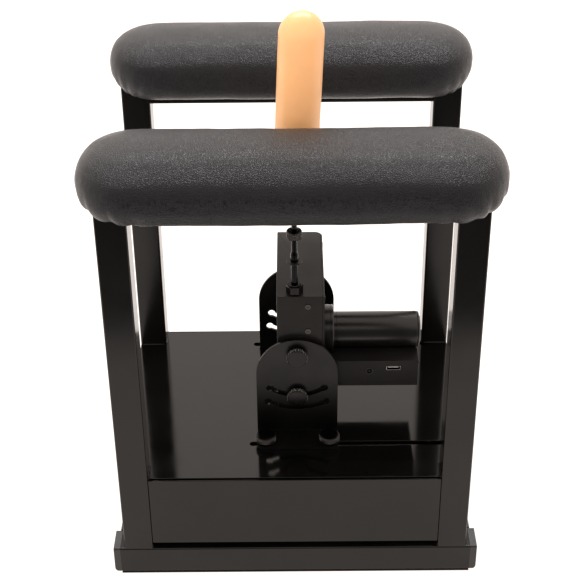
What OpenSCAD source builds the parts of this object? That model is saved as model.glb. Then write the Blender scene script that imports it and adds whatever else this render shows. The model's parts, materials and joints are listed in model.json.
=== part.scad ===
// A motorised saddle machine: a welded tube stand with two padded bolsters, a slotted deck,
// and a tilting drive between two L brackets that strokes a vertical rod.
// The origin is on the floor under the middle of the stand. +X is right, +Y is the rear, +Z is up.

/* [Frame] */
// Width over the legs
frame_w = 360; // [350:2:380]
// Depth over the legs
frame_d = 280; // [276:2:290]
// Side of the square tube
tube = 30; // [28:1:32]
// Wall of the square tube
tube_wall = 1.5; // [1:0.1:2.5]
// Height of the base bars
base_h = 32; // [28:1:33]
// How far the base bars reach past the legs on each side
base_reach = 12; // [8:1:16]
// How far the side runners are set in from the base bars' ends
runner_in = 4.5; // [0:0.5:8]
// Height of the foot pads
foot_h = 2; // [1.5:0.5:3]
// Height of the deck's top face
deck_h = 126; // [120:1:130]
// Thickness of the deck plate
deck_t = 2; // [1.5:0.1:2.5]
// Thickness of the panels round the base
panel_t = 1.6; // [1:0.1:2]
// Height of the frame's top bars
frame_h = 462; // [456:1:466]

/* [Cushions] */
// Length of a cushion
cushion_l = 386; // [380:1:400]
// Depth of a cushion
cushion_d = 127; // [120:1:136]
// Thickness of a cushion
cushion_t = 62; // [60:1:66]
// How far a cushion's middle stands out from its legs' middle
cushion_out = 11.5; // [8:0.5:14]
// Thickness of the board inside a cushion
board_t = 12; // [9:1:14]

/* [Brackets] */
// Sideways place of the tilt pivot
pivot_x = 3.4; // [0:0.1:6]
// Height of the tilt pivot
pivot_h = 225; // [220:0.5:227]
// Width of a bracket
bracket_w = 85; // [80:1:90]
// Height of a bracket's round top
bracket_h = 243.5; // [240:0.5:247]
// Thickness of a bracket
bracket_t = 3; // [2.5:0.1:3.5]
// Depth of a bracket's foot
foot_d = 30; // [30:1:34]
// Radius of the upper arc slot, which the lock studs ride in
lock_r = 50; // [47:0.5:52]
// Radius of the lower arc slot
low_slot_r = 66; // [62:0.5:68]
// Width of the arc slots
slot_w = 5.5; // [5.2:0.1:6]
// Diameter of the knurled knobs
knob_d = 22; // [19:0.5:22]
// Height of the knobs on the brackets' faces
knob_h = 8; // [7:0.5:12]
// Height of the knobs on the brackets' feet
foot_knob_h = 9; // [8:0.5:11]

/* [Drive] */
// Width of the drive housing
housing_w = 49; // [48:0.5:50]
// Depth of the drive housing
housing_d = 135.5; // [132:0.5:136]
// Height of the housing's underside
housing_z = 150; // [148:1:152]
// Height of the housing's top
housing_top = 292; // [290:1:294]
// Wall of the housing
housing_wall = 2; // [1.6:0.1:2.2]
// Height of the motor's axis
motor_z = 222.5; // [221:0.5:224]
// Diameter of the motor
motor_d = 39; // [37:0.5:40]
// Diameter of the gearhead
gearhead_d = 54; // [50:1:55]
// Throw of the crank
crank_r = 16; // [12:0.5:16]

/* [Rod and attachment] */
// Diameter of the drive rod
rod_d = 7; // [6:0.1:7.2]
// Diameter of the attachment
attachment_d = 42.5; // [36:0.5:43]
// Height of the attachment's tip
attachment_top = 588; // [540:1:600]
// Lean of the attachment towards +X, in degrees
attachment_lean = 2.6; // [0:0.1:4]

/* [Hidden] */
$fn = 64;

steel = "#1b1a1c";
satin = "#262426";
gap = 0.2;                                   // clearance between fitted faces
fit = 0.05;                                  // radial clearance of a running fit
leg_x = frame_w / 2 - tube / 2;
leg_y = frame_d / 2 - tube / 2;
base_top = foot_h + base_h;
base_w = frame_w + 2 * base_reach;
cap_t = 7;                                   // end caps of the base bars
cap_r = 6;                                   // their rounded lower edge
tube_r = 2;                                  // outer corner of the square tubes
panel_in = 0.6;                              // panels, from the legs' outer faces
deck_gap = 1.8;                              // between the deck's edge and the end panels
deck_y = frame_d / 2 - panel_in - panel_t - deck_gap;
cushion_y = leg_y + cushion_out;
cushion_z = frame_h + 11;                    // middle height of a cushion
end_l = 58;                                  // length of a cushion's rounded end
ring_n = 32;
board_l = frame_w - 2;
board_d = cushion_d - 47;
screw_xs = [-120, 0, 120];

front_y = -53.5;                             // housing's front face
rear_y = front_y + housing_d;                // housing's rear face
housing_x = pivot_x - 20.4;                  // housing's left face
cover_x = housing_x + housing_w;             // housing's right face
housing_r = 9;                               // its round rear corner on the cover's side
disc_t = [3.5, 4];                           // friction discs, front and rear
bracket_y = [front_y - disc_t[0], rear_y + disc_t[1]];
disc_d = 34;                                 // diameter of the friction discs
stud_d = 6;
stud_dx = bracket_w / 2 - 9;                 // clamp studs, from the bracket's middle
stud_line = 20;                              // clamp studs, from the bracket's outer face
slot_y = [bracket_y[0] - bracket_t - stud_line, bracket_y[1] + bracket_t + stud_line];
slot_x = [-47, 160];                         // ends of the deck's slots
lock_z = pivot_h - lock_r;

motor_y = -8;
gearhead_t = 10.5;
motor_x = cover_x + gearhead_t;
motor_end = 130.5;
pin_d = 8;
yoke_t = 8;
yoke_h = 22;
yoke_slot_h = pin_d + 2;
rod_x = 1.5;
rod_y = -44;
guide_y = 26;
guide_d = 6;
rod_low = 167.5;
rod_top = 327.5;
collar_z = 355;
collar_h = 8.5;
stem_d = 5.5;
stem_z = 388;                                // underside of the stem's flange
flange_t = 3;
spigot_d = 12;

box_x = [33, 130.5];
box_y = [-47, 24];
box_z = [177, 208.5];
box_wall = 2;
inlet_x = 79.5;
inlet_z = 195.5;
port_x = 104.5;
port_z = 199.5;

// ---- shared shapes ----

// A rounded rectangle, w by d, with corners of radius r
module rounded(w, d, r) {
    for (s = [-1, 1])
        for (q = [-1, 1])
            translate([s * (w / 2 - r), q * (d / 2 - r)])
                circle(r);
    square([w - 2 * r, d], center = true);
    square([w, d - 2 * r], center = true);
}

// What lies outside a corner of radius r whose square point is at (x, y), upper right
module outside_corner(x, y, r) {
    translate([x - r, y - r])
        difference() {
            square(r + 1);
            circle(r);
        }
}

// A square tube of length l along +Z, centred on the axis
module tube_z(l, w = tube, d = tube) {
    linear_extrude(l)
        difference() {
            rounded(w, d, tube_r);
            square([w - 2 * tube_wall, d - 2 * tube_wall], center = true);
        }
}

module block(low, high) {
    translate(low)
        cube(high - low);
}

// A cylinder along X from x0 to x1
module rod_x_axis(x0, x1, d, y, z) {
    translate([x0, y, z])
        rotate([0, 90, 0])
            cylinder(d = d, h = x1 - x0);
}

// A cylinder from y0 away from the drive, towards -Y in front and +Y behind
module outward(side, y0, d, h, x = pivot_x, z = pivot_h) {
    translate([x, y0, z])
        rotate([side == 0 ? 90 : -90, 0, 0])
            cylinder(d = d, h = h);
}

module leg(sx, sy) {
    color(steel)
        translate([sx * leg_x, sy * leg_y, base_top])
            tube_z(frame_h - base_top);
}

module base_bar(sy) {
    color(steel)
        translate([-base_w / 2 + cap_t, sy * leg_y, foot_h + base_h / 2])
            rotate([0, 90, 0])
                tube_z(base_w - 2 * cap_t, base_h, tube);
}

module top_bar(sy) {
    color(steel)
        difference() {
            translate([-frame_w / 2 + tube, sy * leg_y, frame_h - tube / 2])
                rotate([0, 90, 0])
                    tube_z(frame_w - 2 * tube);
            for (x = screw_xs)
                translate([x, sy * leg_y, frame_h - tube - 1])
                    cylinder(d = 5.2, h = tube + 2);
        }
}

// A panel in the XZ plane between two legs, with small round lower corners
module end_panel(sy) {
    w = frame_w - 2 * tube - 0.6;
    low = base_top + 7.9;
    top = deck_h - 1;
    r = 1.5;
    color(satin)
        translate([0, sy * (frame_d / 2 - panel_in - panel_t / 2) + panel_t / 2, 0])
            rotate([90, 0, 0])
                linear_extrude(panel_t)
                    union() {
                        translate([-w / 2, low + r])
                            square([w, top - low - r]);
                        translate([-w / 2 + r, low])
                            square([w - 2 * r, r + 1]);
                        for (s = [-1, 1])
                            translate([s * (w / 2 - r), low + r])
                                circle(r);
                    }
}

// A bolster lofted through rings along X. Each ring is a superellipse, flatter underneath,
// and the rings shrink towards the two rounded ends.
function super(a, n) = sign(a) * pow(abs(a), 2 / n);
function end_share(s, n, least) = max(least, pow(1 - pow(s, n), 1 / n));
function ring(x, share_y, share_z) = [for (i = [0:ring_n - 1])
    let (t = i * 360 / ring_n, n = sin(t) < 0 ? 2.9 : 2.3)
    [x, cushion_d / 2 * share_y * super(cos(t), n), cushion_t / 2 * share_z * super(sin(t), n)]];

module bolster() {
    steps = [1, 0.97, 0.9, 0.8, 0.65, 0.45, 0.2, 0];
    last = len(steps) - 1;
    middle = cushion_l / 2 - end_l;
    stations = concat([for (s = steps) [-middle - end_l * s, s]],
        [for (i = [0:last]) [middle + end_l * steps[last - i], steps[last - i]]]);
    points = [for (p = stations) each ring(p[0], end_share(p[1], 2.4, 0.3), end_share(p[1], 3, 0.45))];
    sides = [for (k = [0:len(stations) - 2]) for (i = [0:ring_n - 1])
        let (j = (i + 1) % ring_n, a = k * ring_n, b = a + ring_n)
        each [[a + i, b + j, a + j], [a + i, b + i, b + j]]];
    low_end = [for (i = [0:ring_n - 1]) i];
    high_end = [for (i = [ring_n - 1:-1:0]) (len(stations) - 1) * ring_n + i];
    polyhedron(points, concat([low_end, high_end], sides));
}

module cushion(sy) {
    color("#17171c")
        difference() {
            translate([0, sy * cushion_y, cushion_z])
                bolster();
            translate([0, sy * cushion_y, frame_h + board_t / 2])
                cube([board_l + 2 * gap, board_d + 2 * gap, board_t + 2 * gap], center = true);
            translate([0, sy * leg_y, frame_h - tube / 2])
                cube([frame_w + 2 * gap, tube + 2 * gap, tube + 1], center = true);
        }
}

// An arc slot about the pivot, cut through a plate that lies in the XY plane
module arc_slot(r, half_angle) {
    far = 2 * r;
    intersection() {
        difference() {
            cylinder(r = r + slot_w / 2, h = 10, center = true);
            cylinder(r = r - slot_w / 2, h = 11, center = true);
        }
        linear_extrude(10, center = true)
            polygon([[0, 0], [-far * sin(half_angle), -far * cos(half_angle)],
                [far * sin(half_angle), -far * cos(half_angle)]]);
    }
    for (a = [-half_angle, half_angle])
        rotate([0, 0, a])
            translate([0, -r, 0])
                cylinder(d = slot_w + 2.5, h = 10, center = true);
}

// An L bracket with its inner face in the XZ plane and its foot towards -Y
module l_bracket() {
    top_r = bracket_w / 2;
    top_c = bracket_h - top_r;
    difference() {
        union() {
            rotate([90, 0, 0])
                linear_extrude(bracket_t)
                    union() {
                        translate([-top_r, deck_h])
                            square([bracket_w, top_c - deck_h]);
                        translate([0, top_c])
                            circle(top_r);
                    }
            block([-top_r, -bracket_t - foot_d, deck_h], [top_r, -bracket_t, deck_h + bracket_t]);
        }
        translate([0, -bracket_t / 2, pivot_h])
            rotate([90, 0, 0]) {
                cylinder(d = 12 + 2 * fit, h = 10, center = true);
                arc_slot(lock_r, 34.5);
                arc_slot(low_slot_r, 27.5);
            }
        for (s = [-1, 1])
            translate([s * stud_dx, -bracket_t - stud_line, deck_h - 1])
                cylinder(d = stud_d + 2 * fit, h = bracket_t + 2);
    }
}

// A knob on its stud: the head stands on z = 0 and the stud hangs below
module knob(h, stud, d) {
    rotate_extrude()
        polygon([[0, 0], [knob_d / 2 - 2.5, 0], [knob_d / 2 - 2.5, 1.2], [knob_d / 2 - 0.8, 1.2],
            [knob_d / 2, 2], [knob_d / 2, h - 1], [knob_d / 2 - 1, h], [0, h]]);
    translate([0, 0, -stud])
        cylinder(d = d, h = stud + 1);
}

module foot_knob(side, s) {
    color("#2b2a2c")
        translate([pivot_x + s * stud_dx, slot_y[side], deck_h + bracket_t + gap])
            knob(foot_knob_h, 9, stud_d);
}

// A knob on a bracket's face, whose stud reaches in towards the drive
module face_knob(side, z, stud, d) {
    out = side == 0 ? -1 : 1;
    color("#2b2a2c")
        translate([pivot_x, bracket_y[side] + out * (bracket_t + gap), z])
            rotate([side == 0 ? 90 : -90, 0, 0])
                knob(knob_h, stud, d);
}

// ---- frame ----

module leg_front_left() { leg(-1, -1); }
module leg_front_right() { leg(1, -1); }
module leg_rear_left() { leg(-1, 1); }
module leg_rear_right() { leg(1, 1); }
module front_base_bar() { base_bar(-1); }
module rear_base_bar() { base_bar(1); }
module front_top_bar() { top_bar(-1); }
module rear_top_bar() { top_bar(1); }
module front_panel() { end_panel(-1); }
module rear_panel() { end_panel(1); }
module front_cushion() { cushion(-1); }
module rear_cushion() { cushion(1); }

module side_runners() {
    l = frame_d - 2 * tube;
    color(steel)
        for (s = [-1, 1])
            translate([s * (base_w / 2 - runner_in - tube / 2), -l / 2, foot_h + base_h / 2])
                rotate([-90, 0, 0])
                    tube_z(l, tube, base_h);
}

module base_bar_caps() {
    color("#141414")
        for (s = [-1, 1])
            for (q = [-1, 1])
                translate([s * (base_w / 2), q * leg_y, foot_h + base_h / 2]) {
                    difference() {
                        translate([-s * cap_t / 2, 0, 0])
                            rotate([90, 0, 90])
                                linear_extrude(cap_t, center = true)
                                    rounded(tube, base_h, tube_r);
                        mirror([s < 0 ? 1 : 0, 0, 0])
                            translate([0, 0, -base_h / 2])
                                mirror([0, 0, 1])
                                    rotate([90, 0, 0])
                                        linear_extrude(tube + 2, center = true)
                                            outside_corner(0, 0, cap_r);
                    }
                    translate([-s * (cap_t + 5), 0, 0])
                        cube([10.2, tube - 2 * tube_wall - 2 * gap, base_h - 2 * tube_wall - 2 * gap],
                            center = true);
                }
}

module foot_pads() {
    pad_l = 50;
    pad_d = 26;
    color("#101010")
        for (s = [-1, 1])
            for (q = [-1, 1])
                translate([s * (base_w / 2 - cap_r - 1 - pad_l / 2), q * leg_y, 0])
                    linear_extrude(foot_h)
                        rounded(pad_l, pad_d, 4);
}

module side_panels() {
    color(satin)
        for (s = [-1, 1])
            translate([s * (frame_w / 2 - panel_in - panel_t / 2), 0, (base_top + deck_h - deck_t) / 2])
                cube([panel_t, frame_d - 2 * tube - 0.6, deck_h - deck_t - base_top], center = true);
}

module deck_plate() {
    color("#0c0c0d")
        difference() {
            translate([0, 0, deck_h - deck_t / 2])
                cube([frame_w, 2 * deck_y, deck_t], center = true);
            for (s = [-1, 1])
                for (q = [-1, 1])
                    translate([s * leg_x, q * leg_y, deck_h])
                        cube([tube + 0.1, tube + 0.1, 3 * deck_t], center = true);
            for (y = slot_y) {
                block([slot_x[0] + 3.5, y - 3.5, deck_h - 5], [slot_x[1] - 3.5, y + 3.5, deck_h + 1]);
                for (x = [slot_x[0] + 3.5, slot_x[1] - 3.5])
                    translate([x, y, deck_h - 5])
                        cylinder(d = 7, h = 6);
            }
        }
}

module cushion_boards() {
    color("#b58a5a")
        for (q = [-1, 1])
            difference() {
                translate([0, q * cushion_y, frame_h + board_t / 2])
                    cube([board_l, board_d, board_t], center = true);
                for (x = screw_xs)
                    translate([x, q * leg_y, frame_h - 1])
                        cylinder(d = 5.1, h = board_t - 1);
            }
}

module cushion_screws() {
    color("#8c8c90")
        for (q = [-1, 1])
            for (x = screw_xs)
                translate([x, q * leg_y, frame_h - tube - 3]) {
                    difference() {
                        cylinder(d = 9, h = 3);
                        translate([0, 0, -1])
                            cylinder(d = 4, h = 3, $fn = 6);
                    }
                    cylinder(d = 5, h = tube + board_t - 0.5);
                }
}

// ---- brackets ----

module front_bracket() {
    color(satin)
        translate([pivot_x, bracket_y[0], 0])
            l_bracket();
}

module rear_bracket() {
    color(satin)
        translate([pivot_x, bracket_y[1], 0])
            mirror([0, 1, 0])
                l_bracket();
}

module clamp_strips() {
    color("#77777b")
        for (y = slot_y)
            difference() {
                translate([pivot_x, y, deck_h - deck_t - gap - 1.5])
                    cube([bracket_w, 22, 3], center = true);
                for (s = [-1, 1])
                    translate([pivot_x + s * stud_dx, y, deck_h - 12])
                        cylinder(d = stud_d + 2 * fit, h = 12);
            }
}

module foot_knob_front_left() { foot_knob(0, -1); }
module foot_knob_front_right() { foot_knob(0, 1); }
module foot_knob_rear_left() { foot_knob(1, -1); }
module foot_knob_rear_right() { foot_knob(1, 1); }
module pivot_knob_front() { face_knob(0, pivot_h, bracket_t + disc_t[0] - 1, stud_d); }
module pivot_knob_rear() { face_knob(1, pivot_h, bracket_t + disc_t[1] - 1, stud_d); }
module lock_knob_front() { face_knob(0, lock_z, bracket_t + disc_t[0] - 1, 5); }
module lock_knob_rear() { face_knob(1, lock_z, bracket_t + disc_t[1] - 1, 5); }

// ---- drive ----

// The housing's shell, open on the side that the cover closes and round at its rear corner on that side
module drive_housing() {
    h = housing_top - housing_z;
    color(satin)
        difference() {
            translate([0, 0, housing_z])
                linear_extrude(h)
                    difference() {
                        translate([housing_x + housing_w / 2, front_y + housing_d / 2])
                            rounded(housing_w, housing_d, 1.5);
                        outside_corner(cover_x, rear_y, housing_r);
                    }
            translate([0, 0, housing_z + housing_wall])
                linear_extrude(h - 2 * housing_wall)
                    difference() {
                        translate([housing_x + housing_wall, front_y + housing_wall])
                            square([housing_w - 2 * housing_wall, housing_d - 2 * housing_wall]);
                        outside_corner(cover_x - housing_wall, rear_y - housing_wall, housing_r - housing_wall);
                    }
            block([cover_x - housing_wall, front_y - 1, housing_z - 1],
                [cover_x + 1, rear_y - housing_r, housing_top + 1]);
            translate([rod_x, rod_y, housing_top - 5])
                cylinder(d = 9.1, h = 10);
        }
}

module housing_cover() {
    color(satin)
        difference() {
            block([cover_x - housing_wall, front_y, housing_z],
                [cover_x, rear_y - housing_r - gap, housing_top]);
            rod_x_axis(cover_x - 5, cover_x + 5, 18, motor_y, motor_z);
        }
}

// Two cross-head screws in the front face and four flush screws in the side cover
module housing_screws() {
    color("#3a3a3d") {
        for (z = [250.5, 280])
            difference() {
                outward(0, front_y, 6, 0.8, 15, z);
                for (a = [0, 90])
                    translate([15, front_y - 0.8, z])
                        rotate([0, a, 0])
                            cube([3.4, 1, 0.8], center = true);
            }
        for (y = [front_y + 7, rear_y - 16])
            for (z = [housing_z + 8, housing_top - 8])
                rod_x_axis(cover_x, cover_x + 0.5, 6, y, z);
    }
}

// Discs that the brackets clamp on, each with a hub that turns in the bracket
module friction_discs() {
    color("#2b2a2c")
        for (side = [0, 1])
            difference() {
                union() {
                    outward(side, side == 0 ? front_y : rear_y, disc_d, disc_t[side] - 0.1);
                    outward(side, side == 0 ? front_y : rear_y, 12, disc_t[side] + bracket_t);
                }
                outward(side, side == 0 ? front_y - 0.5 : rear_y + 0.5, stud_d + 2 * fit, 20);
            }
}

module lock_spacers() {
    color("#77777b")
        for (side = [0, 1])
            difference() {
                outward(side, side == 0 ? front_y : rear_y, 12, disc_t[side] - 0.1, pivot_x, lock_z);
                outward(side, side == 0 ? front_y - 0.5 : rear_y + 0.5, 5 + 2 * fit, 20, pivot_x, lock_z);
            }
}

module rod_gland() {
    color("#2b2a2c")
        translate([rod_x, rod_y, housing_top])
            difference() {
                union() {
                    cylinder(d = 17.5, h = 9, $fn = 6);
                    cylinder(d = 13, h = 11);
                    translate([0, 0, -4])
                        cylinder(d = 9, h = 5);
                }
                translate([0, 0, -5])
                    cylinder(d = rod_d + 2 * fit, h = 20);
            }
}

module lower_guide() {
    color("#8a8a8e")
        difference() {
            block([rod_x - 7, front_y + housing_wall, 172], [rod_x + 7, rod_y + 7, 188]);
            translate([rod_x, rod_y, 165])
                cylinder(d = rod_d + 2 * fit, h = 30);
        }
}

module guide_rod() {
    color("silver")
        translate([rod_x, guide_y, housing_z + housing_wall])
            cylinder(d = guide_d, h = housing_top - housing_z - 2 * housing_wall);
}

module gearhead() {
    color("#3a393b")
        difference() {
            translate([cover_x, motor_y, motor_z])
                rotate([0, 90, 0])
                    rotate_extrude()
                        polygon([[0, 0], [gearhead_d / 2 - 1, 0], [gearhead_d / 2, 1],
                            [gearhead_d / 2, gearhead_t - 1], [gearhead_d / 2 - 1, gearhead_t], [0, gearhead_t]]);
            rod_x_axis(cover_x - 1, motor_x - 2, 8 + 2 * fit, motor_y, motor_z);
        }
}

module motor_body() {
    color("#2e2d2f")
        rod_x_axis(motor_x, motor_end, motor_d, motor_y, motor_z);
}

module motor_end_cap() {
    color("#1e1e20")
        translate([motor_end, motor_y, motor_z])
            rotate([0, 90, 0])
                rotate_extrude()
                    polygon([[0, 0], [motor_d / 2 - 0.4, 0], [motor_d / 2 - 0.4, 1.6], [motor_d / 2 - 1.2, 2.4],
                        [15, 2.4], [14.6, 3.6], [5, 4], [0, 4]]);
}

// Room for the motor and gearhead where the box reaches up round them
module motor_room() {
    rod_x_axis(cover_x - 5, motor_x + 0.3, gearhead_d + 0.6, motor_y, motor_z);
    rod_x_axis(motor_x, motor_end + 20, motor_d + 0.6, motor_y, motor_z);
}

module control_box() {
    color(satin)
        difference() {
            block([box_x[0], box_y[0], box_z[0] + 2], [box_x[1], box_y[1], box_z[1] - 3]);
            block([box_x[0] + box_wall, box_y[0] + box_wall, box_z[0]],
                [box_x[1] - box_wall, box_y[1] - box_wall, box_z[1]]);
            motor_room();
            translate([inlet_x, box_y[0] - 1, inlet_z])
                rotate([-90, 0, 0])
                    cylinder(d = 8, h = 5);
            translate([port_x, box_y[0], port_z])
                cube([15.2, 8, 5.2], center = true);
        }
}

module control_box_lid() {
    color(satin)
        difference() {
            union() {
                block([box_x[0], box_y[0] - 0.6, box_z[1] - 3], [box_x[1] + 0.6, box_y[1] + 0.6, box_z[1]]);
                block([motor_x + 1, motor_y - 14, box_z[1] - 6], [box_x[1] - box_wall - gap, motor_y + 14, box_z[1] - 2]);
            }
            motor_room();
        }
}

module control_box_base() {
    color(satin) {
        block([box_x[0], box_y[0], box_z[0]], [box_x[1], box_y[1], box_z[0] + 2]);
        for (x = [box_x[0] + 12, box_x[1] - 14])
            for (y = [box_y[0] + 14, box_y[1] - 12])
                translate([x, y, box_z[0] + 1])
                    cylinder(d = 6, h = 4);
    }
}

module circuit_board() {
    z = box_z[0] + 5;
    color("#1f5c3a")
        block([box_x[0] + 6, box_y[0] + 9, z], [box_x[1] - 8, box_y[1] - 6, z + 1.6]);
    color("#222222") {
        block([60, -25, z + 1], [72, -13, z + 4]);
        block([88, -10, z + 1], [96, 4, z + 3.5]);
        for (x = [50, 110])
            translate([x, 6, z + 1])
                cylinder(d = 8, h = 11);
    }
}

module power_inlet() {
    color("#111111")
        difference() {
            union() {
                block([inlet_x - 4.8, box_y[0] + box_wall, inlet_z - 4.8],
                    [inlet_x + 4.8, box_y[0] + 14, inlet_z + 4.8]);
                translate([inlet_x, box_y[0] - 0.4, inlet_z])
                    rotate([-90, 0, 0])
                        cylinder(d = 7.8, h = 4);
            }
            translate([inlet_x, box_y[0] - 1, inlet_z])
                rotate([-90, 0, 0])
                    difference() {
                        cylinder(d = 5.6, h = 10.5);
                        cylinder(d = 2.1, h = 11);
                    }
        }
}

module port_socket() {
    color("silver") {
        difference() {
            block([port_x - 7.5, box_y[0] - 0.6, port_z - 2.5], [port_x + 7.5, box_y[0] + 12, port_z + 2.5]);
            block([port_x - 6.9, box_y[0] - 1, port_z - 1.9], [port_x + 6.9, box_y[0] + 10, port_z + 1.9]);
        }
        block([port_x - 5.6, box_y[0] + 1, port_z - 0.6], [port_x + 5.6, box_y[0] + 11, port_z + 0.6]);
    }
}

// ---- crank, rod and attachment ----

module output_shaft() {
    color("silver")
        rod_x_axis(9.5, motor_x - 2.3, 8, motor_y, motor_z);
}

module crank_disc() {
    color("#8a8a8e")
        difference() {
            union() {
                rod_x_axis(9.5, 15.5, 2 * (crank_r + 6), motor_y, motor_z);
                rod_x_axis(15, 24, 16, motor_y, motor_z);
            }
            rod_x_axis(5, 30, 8.02, motor_y, motor_z);
            rod_x_axis(5, 20, pin_d + 0.02, motor_y + crank_r, motor_z);
        }
}

module crank_pin() {
    color("silver")
        rod_x_axis(rod_x - yoke_t / 2 - 1.5, 15.5, pin_d, motor_y + crank_r, motor_z);
}

// A cross slot that the crank pin slides in, with a hub on the drive rod and one on the guide rod
module slotted_yoke() {
    reach = crank_r + pin_d / 2 + 1.5;
    color("#9a9a9e")
        difference() {
            union() {
                block([rod_x - yoke_t / 2, rod_y, motor_z - yoke_h / 2],
                    [rod_x + yoke_t / 2, guide_y, motor_z + yoke_h / 2]);
                for (y = [rod_y, guide_y])
                    translate([rod_x, y, motor_z - yoke_h / 2])
                        cylinder(d = 11, h = yoke_h);
            }
            block([rod_x - yoke_t, motor_y - reach, motor_z - yoke_slot_h / 2],
                [rod_x + yoke_t, motor_y + reach, motor_z + yoke_slot_h / 2]);
            translate([rod_x, rod_y, motor_z - yoke_h])
                cylinder(d = rod_d + 0.02, h = 2 * yoke_h);
            translate([rod_x, guide_y, motor_z - yoke_h])
                cylinder(d = guide_d + 2 * fit, h = 2 * yoke_h);
        }
}

module drive_rod() {
    color("#242427")
        translate([rod_x, rod_y, 0]) {
            translate([0, 0, rod_low])
                cylinder(d = rod_d, h = rod_top - rod_low);
            translate([0, 0, rod_top - 1])
                cylinder(d = 5, h = 9);
        }
}

module rod_disc() {
    color("#2b2a2c")
        translate([rod_x, rod_y, rod_top])
            difference() {
                cylinder(d = 16, h = 1.4);
                translate([0, 0, -1])
                    cylinder(d = 5.04, h = 4);
            }
}

module rod_coupler() {
    color("silver")
        translate([rod_x, rod_y, 0])
            difference() {
                rotate_extrude()
                    polygon([[0, rod_top + 1.4], [4, rod_top + 1.4], [4, rod_top + 8.5], [3, rod_top + 12],
                        [2.8, collar_z - 1.5], [4.5, collar_z - 0.5], [4.5, collar_z + collar_h + 1],
                        [0, collar_z + collar_h + 1]]);
                translate([0, 0, rod_top])
                    cylinder(d = 5.04, h = 8.2);
                translate([0, 0, collar_z + 1])
                    cylinder(d = stem_d + 2 * fit, h = 20);
            }
}

module lock_collar() {
    color("#b9b9be")
        translate([rod_x, rod_y, collar_z])
            difference() {
                rotate_extrude()
                    polygon([[0, 0], [7.2, 0], [8, 0.8], [8, collar_h - 0.8], [7.2, collar_h], [0, collar_h]]);
                translate([0, 0, -1])
                    cylinder(d = 9 + 2 * fit, h = collar_h + 2);
            }
}

module attachment_stem() {
    color("#2b2a2c")
        translate([rod_x, rod_y, 0]) {
            translate([0, 0, collar_z + 1.2])
                cylinder(d = stem_d, h = stem_z - collar_z);
            translate([0, 0, stem_z])
                cylinder(d = 30, h = flange_t);
            translate([0, 0, stem_z + flange_t - 1])
                cylinder(d = spigot_d, h = 60);
        }
}

// A plain round-ended attachment on a short base ring
module attachment() {
    base_z = stem_z + flange_t;
    r = attachment_d / 2;
    l = attachment_top - base_z;
    color("#e8b48c")
        translate([rod_x, rod_y, base_z])
            difference() {
                union() {
                    cylinder(d = attachment_d + 3, h = 6);
                    translate([0, 0, 3])
                        rotate([0, attachment_lean, 0])
                            cylinder(r = r, h = l - r - 3);
                    translate([(l - r) * sin(attachment_lean), 0, l - r])
                        sphere(r = r);
                }
                translate([0, 0, -1])
                    cylinder(d = spigot_d + 0.4, h = 61);
            }
}

leg_front_left();
leg_front_right();
leg_rear_left();
leg_rear_right();
front_base_bar();
rear_base_bar();
side_runners();
base_bar_caps();
foot_pads();
front_top_bar();
rear_top_bar();
front_panel();
rear_panel();
side_panels();
deck_plate();
cushion_boards();
cushion_screws();
front_cushion();
rear_cushion();
front_bracket();
rear_bracket();
clamp_strips();
foot_knob_front_left();
foot_knob_front_right();
foot_knob_rear_left();
foot_knob_rear_right();
pivot_knob_front();
pivot_knob_rear();
lock_knob_front();
lock_knob_rear();
drive_housing();
housing_cover();
housing_screws();
friction_discs();
lock_spacers();
rod_gland();
lower_guide();
guide_rod();
gearhead();
motor_body();
motor_end_cap();
control_box();
control_box_lid();
control_box_base();
circuit_board();
power_inlet();
port_socket();
output_shaft();
crank_disc();
crank_pin();
slotted_yoke();
drive_rod();
rod_disc();
rod_coupler();
lock_collar();
attachment_stem();
attachment();
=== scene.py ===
# Looks for the motorised seat machine: materials, softened copies of the CAD parts, knurled knobs,
# upholstered bolsters, weld beads, a studio floor, lights and the camera. Lengths are in metres.
import json
import math

import bmesh
import bpy
import numpy as np
from mathutils import Matrix, Vector, noise

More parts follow.
